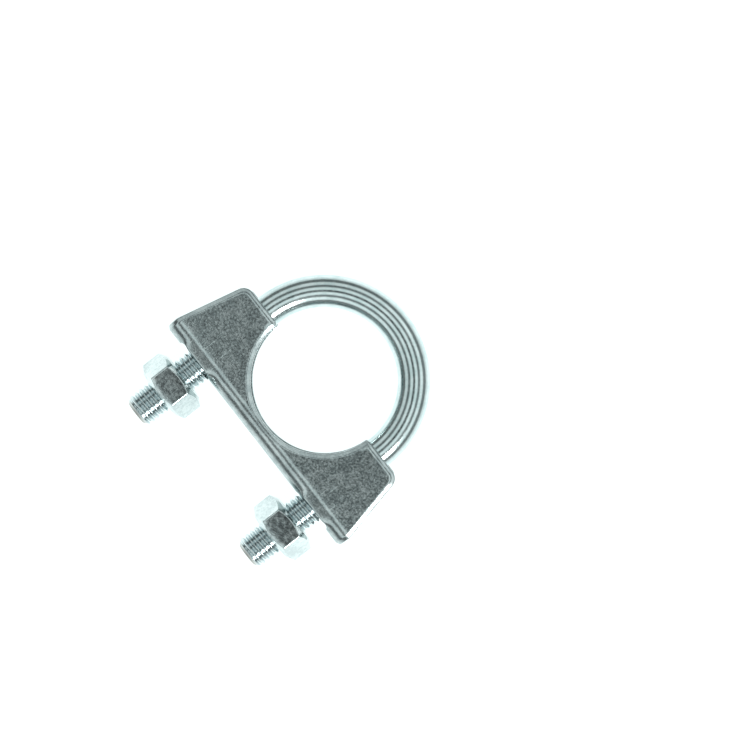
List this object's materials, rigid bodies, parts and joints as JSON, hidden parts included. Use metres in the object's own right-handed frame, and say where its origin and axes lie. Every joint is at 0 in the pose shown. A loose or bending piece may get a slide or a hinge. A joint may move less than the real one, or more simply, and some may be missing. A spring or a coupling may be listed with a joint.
{
  "type": "exhaust clamp",
  "caption": "U-bolt clamp for an exhaust pipe: a threaded round-bar bow closed by a pressed channel saddle with a half-round cradle and hexagon nuts.",
  "frame": {"origin": "centre of the clamped pipe, halfway along the saddle's width", "axes": "+Z along the pipe, +Y towards the bow of the U-bolt, studs towards -Y, X from one stud to the other"},
  "size_m": [0.061, 0.0604, 0.013],
  "materials": {
    "plated_bar": "bright zinc plating, drawn bar with rolled threads",
    "plated_sheet": "dull zinc plating on pressed sheet, with drawing scratches",
    "plated_nut": "pale blue-white zinc plating, satin"
  },
  "bodies": {
    "u_bolt": {"u_bolt": "plated_bar"},
    "saddle": {"saddle": "plated_sheet"},
    "nut_left": {"nut_left": "plated_nut"},
    "nut_right": {"nut_right": "plated_nut"}
  },
  "joints": [
    {"name": "saddle_slide", "type": "slide", "parent": "u_bolt", "child": "saddle", "axis": [0, 1, 0], "range_m": [0, 0.00875]},
    {"name": "nut_left_travel", "type": "slide", "parent": "u_bolt", "child": "nut_left", "axis": [0, 1, 0], "range_m": [-0.00625, 0.00375]},
    {"name": "nut_right_travel", "type": "slide", "parent": "u_bolt", "child": "nut_right", "axis": [0, 1, 0], "range_m": [-0.00625, 0.00375]}
  ]
}
